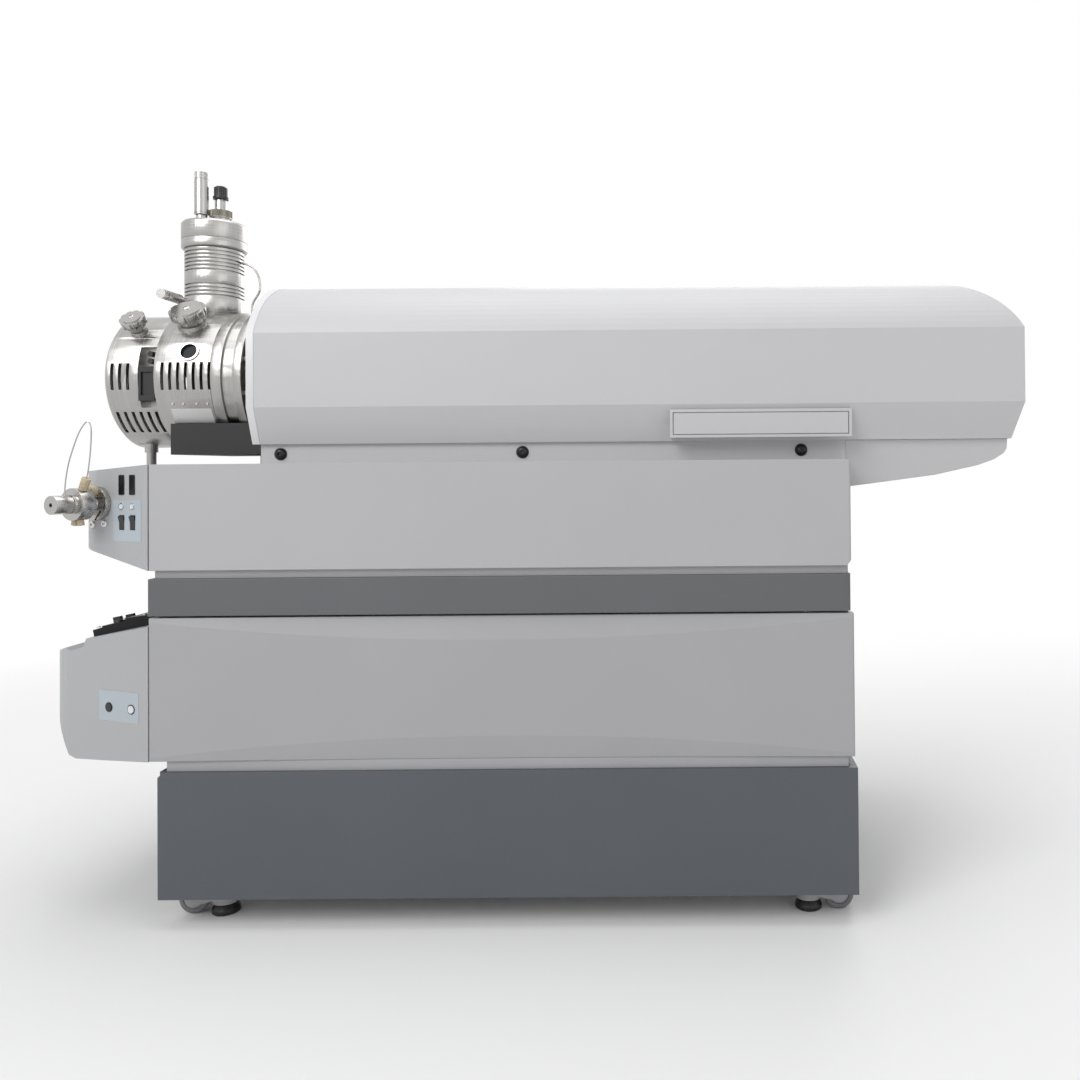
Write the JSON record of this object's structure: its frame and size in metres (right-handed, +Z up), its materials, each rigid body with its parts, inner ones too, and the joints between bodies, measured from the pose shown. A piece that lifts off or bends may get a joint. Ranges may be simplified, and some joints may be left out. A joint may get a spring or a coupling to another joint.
{
  "type": "mass spectrometer",
  "caption": "Floor-standing analyser: long rounded top cover with a round ion source and tower at one end, over a panelled cabinet on levelling casters.",
  "frame": {"origin": "bottom centre of the bounding box, on the floor", "axes": "-X is the ion source end, +X the rear with the overhang, -Y the side with the valve and switches, +Z up"},
  "size_m": [1.325, 0.5954, 1.0723],
  "materials": {
    "cover_white": "fine satin off-white paint",
    "panel_grey": "smooth satin light grey moulding",
    "band_grey": "satin dark grey",
    "skirt_blue_grey": "satin blue-grey paint",
    "frame_grey": "powder coat",
    "steel": "turned and brushed stainless steel",
    "aluminium": "machined",
    "black_plastic": "satin black",
    "wheel_grey": "grey tread",
    "beige_plastic": "moulded beige",
    "button_white": "moulded",
    "rod_gold": "gold-coated rods"
  },
  "bodies": {
    "root": {"chassis_frame": "frame_grey", "base_skirt": "skirt_blue_grey", "mid_band": "band_grey", "right_upper_panel": "panel_grey", "left_upper_panel": "panel_grey", "right_lower_panel": "panel_grey", "left_lower_panel": "panel_grey", "rear_panel": "panel_grey", "front_bezel": "panel_grey", "front_nose": "panel_grey", "deck_plate": "cover_white", "top_cover": "cover_white", "rear_tray": "cover_white", "name_plate": "cover_white", "vacuum_chamber": "aluminium", "interface_flange": "steel", "quadrupole_set": "rod_gold", "ion_detector": "aluminium", "turbo_pumps": "aluminium", "electronics_rack": "aluminium", "cooling_fan": "black_plastic", "rear_connectors": "black_plastic", "valve_body": "steel", "valve_fittings": "beige_plastic", "sample_loop": "steel", "pump_body": "black_plastic", "source_cradle": "black_plastic"},
    "caster_1": {"caster_fork_1": "frame_grey"},
    "wheel_1": {"caster_wheel_1": "wheel_grey"},
    "foot_1": {"levelling_foot_1": "black_plastic"},
    "caster_2": {"caster_fork_2": "frame_grey"},
    "wheel_2": {"caster_wheel_2": "wheel_grey"},
    "foot_2": {"levelling_foot_2": "black_plastic"},
    "caster_3": {"caster_fork_3": "frame_grey"},
    "wheel_3": {"caster_wheel_3": "wheel_grey"},
    "foot_3": {"levelling_foot_3": "black_plastic"},
    "caster_4": {"caster_fork_4": "frame_grey"},
    "wheel_4": {"caster_wheel_4": "wheel_grey"},
    "foot_4": {"levelling_foot_4": "black_plastic"},
    "fan": {"fan_rotor": "black_plastic"},
    "main_switch": {"main_switch": "black_plastic"},
    "rocker_1": {"rocker_switch_1": "black_plastic"},
    "rocker_2": {"rocker_switch_2": "black_plastic"},
    "bezel_button_1": {"bezel_button_1": "button_white"},
    "bezel_button_2": {"bezel_button_2": "button_white"},
    "nose_button_1": {"nose_button_1": "black_plastic"},
    "nose_button_2": {"nose_button_2": "button_white"},
    "carriage": {"pump_carriage": "black_plastic"},
    "lead_screw": {"lead_screw": "steel"},
    "source": {"source_housing": "steel", "source_end_drum": "steel", "source_window": "black_plastic", "source_tower": "steel", "gas_tube": "steel"},
    "tower_cap": {"tower_cap": "steel"},
    "vertical_micrometer": {"vertical_micrometer": "steel"},
    "side_micrometer": {"side_micrometer": "steel"},
    "electrode_knob": {"electrode_knob": "black_plastic"},
    "source_latch_1": {"source_latch_1": "steel"},
    "source_latch_2": {"source_latch_2": "steel"}
  },
  "joints": [
    {"name": "caster_1_swivel", "type": "hinge", "parent": "root", "child": "caster_1", "pos_m": [-0.4205, -0.20433, 0.04], "axis": [0, 0, 1], "continuous": true},
    {"name": "wheel_1_spin", "type": "hinge", "parent": "caster_1", "child": "wheel_1", "pos_m": [-0.4605, -0.20433, 0.0203], "axis": [0, 1, 0], "continuous": true},
    {"name": "foot_1_screw", "type": "slide", "parent": "root", "child": "foot_1", "axis": [0, 0, 1], "range_m": [-0.012, 0]},
    {"name": "caster_2_swivel", "type": "hinge", "parent": "root", "child": "caster_2", "pos_m": [-0.4205, 0.23967, 0.04], "axis": [0, 0, 1], "continuous": true},
    {"name": "wheel_2_spin", "type": "hinge", "parent": "caster_2", "child": "wheel_2", "pos_m": [-0.4605, 0.23967, 0.0203], "axis": [0, 1, 0], "continuous": true},
    {"name": "foot_2_screw", "type": "slide", "parent": "root", "child": "foot_2", "axis": [0, 0, 1], "range_m": [-0.012, 0]},
    {"name": "caster_3_swivel", "type": "hinge", "parent": "root", "child": "caster_3", "pos_m": [0.3685, -0.20433, 0.04], "axis": [0, 0, 1], "continuous": true},
    {"name": "wheel_3_spin", "type": "hinge", "parent": "caster_3", "child": "wheel_3", "pos_m": [0.4085, -0.20433, 0.0203], "axis": [0, 1, 0], "continuous": true},
    {"name": "foot_3_screw", "type": "slide", "parent": "root", "child": "foot_3", "axis": [0, 0, 1], "range_m": [-0.012, 0]},
    {"name": "caster_4_swivel", "type": "hinge", "parent": "root", "child": "caster_4", "pos_m": [0.3685, 0.23967, 0.04], "axis": [0, 0, 1], "continuous": true},
    {"name": "wheel_4_spin", "type": "hinge", "parent": "caster_4", "child": "wheel_4", "pos_m": [0.4085, 0.23967, 0.0203], "axis": [0, 1, 0], "continuous": true},
    {"name": "foot_4_screw", "type": "slide", "parent": "root", "child": "foot_4", "axis": [0, 0, 1], "range_m": [-0.012, 0]},
    {"name": "fan_spin", "type": "hinge", "parent": "root", "child": "fan", "pos_m": [0.3915, 0.15767, 0.5365], "axis": [1, 0, 0], "continuous": true},
    {"name": "main_switch_rock", "type": "hinge", "parent": "root", "child": "main_switch", "pos_m": [0.4205, -0.11783, 0.253], "axis": [0, 1, 0], "range_deg": [-20, 0]},
    {"name": "rocker_1_rock", "type": "hinge", "parent": "root", "child": "rocker_1", "pos_m": [-0.53457, -0.24489, 0.529], "axis": [0.9397, -0.342, 0], "range_deg": [-20, 0]},
    {"name": "rocker_2_rock", "type": "hinge", "parent": "root", "child": "rocker_2", "pos_m": [-0.51625, -0.25156, 0.529], "axis": [0.9397, -0.342, 0], "range_deg": [-20, 0]},
    {"name": "bezel_button_1_press", "type": "slide", "parent": "root", "child": "bezel_button_1", "axis": [0.342, 0.9397, 0], "range_m": [0, 0.0012], "stiffness_N_per_m": 400, "springref_m": -0.0005},
    {"name": "bezel_button_2_press", "type": "slide", "parent": "root", "child": "bezel_button_2", "axis": [0.342, 0.9397, 0], "range_m": [0, 0.0012], "stiffness_N_per_m": 400, "springref_m": -0.0005},
    {"name": "nose_button_1_press", "type": "slide", "parent": "root", "child": "nose_button_1", "axis": [0.342, 0.9397, 0], "range_m": [0, 0.0012], "stiffness_N_per_m": 400, "springref_m": -0.0005},
    {"name": "nose_button_2_press", "type": "slide", "parent": "root", "child": "nose_button_2", "axis": [0.342, 0.9397, 0], "range_m": [0, 0.0012], "stiffness_N_per_m": 400, "springref_m": -0.0005},
    {"name": "carriage_slide", "type": "slide", "parent": "root", "child": "carriage", "axis": [0, 1, 0], "range_m": [0, 0.1734]},
    {"name": "lead_screw_turn", "type": "hinge", "parent": "root", "child": "lead_screw", "pos_m": [-0.56816, -0.10833, 0.38478], "axis": [0, 1, 0], "continuous": true},
    {"name": "source_pull", "type": "slide", "parent": "root", "child": "source", "axis": [-1, 0, 0], "range_m": [0, 0.15]},
    {"name": "tower_cap_turn", "type": "hinge", "parent": "source", "child": "tower_cap", "pos_m": [-0.5485, 0.01767, 0.97], "axis": [0, 0, 1], "range_deg": [0, 60]},
    {"name": "vertical_micrometer_turn", "type": "hinge", "parent": "source", "child": "vertical_micrometer", "pos_m": [-0.5645, 0.00867, 1.032], "axis": [0, 0, 1], "continuous": true},
    {"name": "side_micrometer_turn", "type": "hinge", "parent": "source", "child": "side_micrometer", "pos_m": [-0.5755, -0.06233, 0.862], "axis": [0, 1, 0], "continuous": true},
    {"name": "electrode_knob_turn", "type": "hinge", "parent": "source", "child": "electrode_knob", "pos_m": [-0.5425, 0.02567, 1.042], "axis": [0, 0, 1], "continuous": true},
    {"name": "source_latch_1_turn", "type": "hinge", "parent": "source", "child": "source_latch_1", "pos_m": [-0.5465, -0.05818, 0.82839], "axis": [0, -0.6428, 0.766], "range_deg": [0, 90]},
    {"name": "source_latch_2_turn", "type": "hinge", "parent": "source", "child": "source_latch_2", "pos_m": [-0.6225, -0.07002, 0.81696], "axis": [0, -0.7431, 0.6691], "range_deg": [0, 90]}
  ],
  "couplings": [
    {"joint": "lead_screw_turn", "follows": "carriage_slide", "rad_per_m": 314.16}
  ]
}
